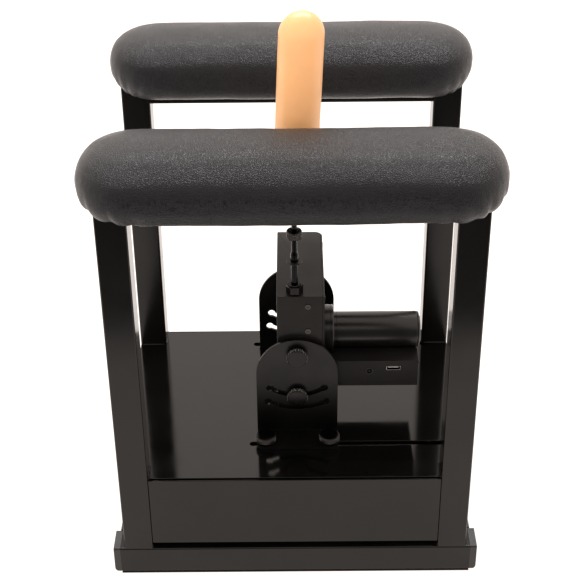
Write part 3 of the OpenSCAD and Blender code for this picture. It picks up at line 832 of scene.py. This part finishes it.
# How far the cover hangs over the top of a leg.
LEG_DIP = 0.0052


def gathered(co, normal, leg, folds, seed):
    """Pushes the cover down round a leg, and cuts radial folds in it that fade upwards."""
    away = co[:, :2] - leg[:2]
    r = np.hypot(away[:, 0], away[:, 1])
    azimuth = np.degrees(np.arctan2(away[:, 1], away[:, 0])) % 360
    out = np.zeros(len(co))
    wander = 5.0 * slow_noise(co, 0.03, seed)
    low = 1 - step(co[:, 2], leg[2] + 0.006, leg[2] + 0.038)
    near = 1 - step(r, 0.080, 0.100)
    reach = 0.45 * step(r, 0.008, 0.020) + 0.55 * step(r, 0.030, 0.070)
    for middle, width, depth in folds:
        off = (azimuth + wander - middle + 180) % 360 - 180
        groove = np.exp(-(off / width) ** 2)
        shoulder = np.exp(-((np.abs(off) - 2.1 * width) / (1.5 * width)) ** 2)
        out += depth * MM * (0.55 * shoulder - groove)
    dip = LEG_DIP * np.exp(-(r / 0.036) ** 2) * (1 - step(co[:, 2], leg[2] + 0.004, leg[2] + 0.022))
    co = co + normal * (out * low * near * reach)[:, None]
    co[:, 2] -= dip
    return co


# How long a bolster's rounded ends are, and how much smaller than the cushion it starts.
END_ROUND = 0.058
ROOM, ROOM_UP = 0.006, 0.005
VOXEL = 0.005
CLOTH_CAP = 0.003
# How far from a leg the pleats may need a finer mesh, and how much shorter the cover is than the CAD node.
FOLD_REACH = 0.085
END_PULL = 0.0035


def bolster(node, side):
    """The cover of one cushion: a loft, inflated as cloth, fitted to the CAD node's box and gathered."""
    low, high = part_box(node)
    size = high - low
    middle = (low + high) / 2
    mesh = remeshed(loft(size.x - ROOM, size.y - ROOM, size.z - ROOM_UP, END_ROUND), VOXEL)
    mesh = inflated(mesh, CLOTH_CAP)
    mesh = subdivided(mesh)
    co = coordinates(mesh)
    box_low, box_high = co.min(0), co.max(0)
    co = (co - (box_low + box_high) / 2) / (box_high - box_low) * (np.array(size) - (END_PULL, 0, 0))
    co += np.array(middle)
    put(mesh, co)
    legs = {hand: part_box(f"leg_{side}_{hand}") for hand in ("left", "right")}
    wanted = np.zeros(len(co), bool)
    for a, b in legs.values():
        centre = (a + b) / 2
        near = np.hypot(co[:, 0] - centre.x, co[:, 1] - centre.y) < FOLD_REACH
        wanted |= near & (co[:, 2] < middle.z + 0.010)
    mesh = split_where(mesh, wanted)
    relaxed(mesh, 2)
    co, normal = coordinates(mesh), normals_of(mesh)
    seed = 2.0 if side == "front" else 11.0
    lumps = 0.0007 * slow_noise(co, 0.05, seed) + 0.0003 * slow_noise(co, 0.018, seed + 3)
    co = co + normal * lumps[:, None]
    for k, (hand, (a, b)) in enumerate(legs.items()):
        centre = np.array([(a.x + b.x) / 2, (a.y + b.y) / 2, low.z])
        co = gathered(co, normal, centre, FOLDS[f"{side}_{hand}"], seed + k)
    put(mesh, co)
    mesh.shade_smooth()
    made = piece("cover_" + node, mesh, BODY[node], SLOT[node], [node])


bolster("front_cushion", "front")
bolster("rear_cushion", "rear")


# ---------------------------------------------------------------- attachment

# Millimetres.
ATTACHMENT_R = 21.25
ATTACHMENT_LEAN = math.radians(2.6)
RING_TOP = 12.0


def attachment():
    """A plain round-ended silicone attachment on a short base ring, leaning a little towards +X."""
    low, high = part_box("attachment")
    stem_low, stem_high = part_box("attachment_stem")
    base = Vector(((stem_low.x + stem_high.x) / 2, (stem_low.y + stem_high.y) / 2, low.z))
    ring = [(0.0, 0.0), (21.6, 0.0), (22.5, 0.5), (22.75, 1.3), (22.75, 4.6), (22.4, 5.6), (21.7, 6.6),
            (21.3, 8.5), (ATTACHMENT_R, RING_TOP)]
    straight = (high.z - low.z) / MM - ATTACHMENT_R
    side = [(ATTACHMENT_R, RING_TOP + (straight - RING_TOP) * k / 40) for k in range(1, 41)]
    dome = [(ATTACHMENT_R * math.cos(a), straight + ATTACHMENT_R * math.sin(a))
            for a in (math.pi / 2 * k / 24 for k in range(1, 25))]
    mesh = turned("attachment_mesh", in_mm(ring + side + dome))
    co = coordinates(mesh)
    share = step(co[:, 2], 0.004, 0.02)
    co[:, 0] += math.tan(ATTACHMENT_LEAN) * co[:, 2] * share
    put(mesh, co + np.array(base))
    smoothed(mesh, 50)
    piece("smooth_attachment", mesh, BODY["attachment"], SLOT["attachment"], ["attachment"])


attachment()


# ---------------------------------------------------------------- floor, lights and camera

WARM = (1.0, 0.90, 0.835)
WHITE = (1.0, 1.0, 1.0)


def dull(name, grey, rough=1.0, glow=0.0, tint=WHITE, specular=0.5):
    """A plain grey studio surface. With a glow it is partly lit from inside, as a light table is."""
    mat = bpy.data.materials.new(name)
    mat.use_nodes = True
    inputs = mat.node_tree.nodes["Principled BSDF"].inputs
    inputs["Base Color"].default_value = (grey, grey, grey, 1)
    inputs["Roughness"].default_value = rough
    inputs["Specular IOR Level"].default_value = specular
    inputs["Emission Color"].default_value = (*tint, 1)
    inputs["Emission Strength"].default_value = glow
    mat.cycles.emission_sampling = "NONE"
    return mat


def flat(name, low, high, material, rise=0.0):
    """A rectangle of the stage from its near left corner to its far right one. rise lifts its far edge."""
    corners = [(low[0], low[1], low[2]), (high[0], low[1], low[2]), (high[0], high[1], low[2] + rise),
               (low[0], high[1], low[2] + rise)]
    mesh = mesh_of(name, corners, [(0, 1, 2, 3)])
    mesh.materials.append(material)
    obj = bpy.data.objects.new(name, mesh)
    scene.collection.objects.link(obj)
    obj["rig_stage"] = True
    return obj


FLOOR_HALF = 12
SHADE_Z = 0.0003
flat("floor", (-FLOOR_HALF, -FLOOR_HALF, 0), (FLOOR_HALF, FLOOR_HALF),
     dull("floor", 0.32, rough=0.9, glow=0.98, tint=WARM, specular=0.0))

# A dark sheet on the floor under the stand: painted shade in place of the shadow that the stand would cast on
# the glowing floor.
near_left, far_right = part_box("front_base_bar")[0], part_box("rear_base_bar")[1]
flat("shade", (near_left.x, near_left.y, SHADE_Z), far_right, dull("shade", 0.02))


def flag(name, low, high, rise=0.0):
    """A black studio flag: it is seen in reflections only."""
    obj = flat(name, low, high, dull(name, 0.05, glow=0.05), rise)
    obj.visible_camera = False
    obj.visible_diffuse = False
    obj.visible_shadow = False
    obj.visible_transmission = False


flag("floor_flag", (-3.5, -4.0, 0.002), (3.5, -0.60))
flag("front_flag", (-3.5, -4.0, 0.0), (3.5, -3.4), rise=2.6)

world = bpy.data.worlds.new("studio")
scene.world = world
world.use_nodes = True
world.node_tree.nodes["Background"].inputs["Color"].default_value = (*WARM, 1)
world.node_tree.nodes["Background"].inputs["Strength"].default_value = 1.2


def softbox(name, at, target, size, power):
    """A soft rectangular lamp that looks from at to target."""
    data = bpy.data.lights.new(name, "AREA")
    data.shape = "RECTANGLE"
    data.size, data.size_y = size
    data.energy = power
    obj = bpy.data.objects.new(name, data)
    scene.collection.objects.link(obj)
    obj.location = at
    obj.rotation_mode = "QUATERNION"
    obj.rotation_quaternion = (Vector(target) - Vector(at)).to_track_quat("-Z", "Y")
    return obj


softbox("key", (0.0, 1.40, 2.2), (0.0, 0.0, 0.45), (1.8, 0.5), 42.0)
fill = softbox("fill", (-0.8, -1.6, 1.3), (0.0, 0.0, 0.5), (1.2, 1.2), 12.0)
fill.visible_glossy = False

# The camera, solved from the stand's corners. The focal length is a share of the picture's width.
CAMERA_AT = Vector((1.7, -1197.9, 1001.8)) * MM
PITCH, YAW, ROLL = math.radians(31.62), math.radians(-0.116), math.radians(-0.515)
FOCAL_SHARE = 2.28034
SENSOR = 36
ahead = Vector((math.sin(YAW) * math.cos(PITCH), math.cos(YAW) * math.cos(PITCH), -math.sin(PITCH)))
level = Vector((math.cos(YAW), -math.sin(YAW), 0))
above = level.cross(ahead)
right = math.cos(ROLL) * level + math.sin(ROLL) * above
up = -math.sin(ROLL) * level + math.cos(ROLL) * above
data = bpy.data.cameras.new("camera")
data.sensor_width = SENSOR
data.lens = SENSOR * FOCAL_SHARE
data.clip_start, data.clip_end = 0.05, 60
camera = bpy.data.objects.new("camera", data)
scene.collection.objects.link(camera)
camera.matrix_world = Matrix(((right.x, up.x, -ahead.x, CAMERA_AT.x), (right.y, up.y, -ahead.y, CAMERA_AT.y),
                              (right.z, up.z, -ahead.z, CAMERA_AT.z), (0, 0, 0, 1)))
scene.camera = camera

low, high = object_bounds()
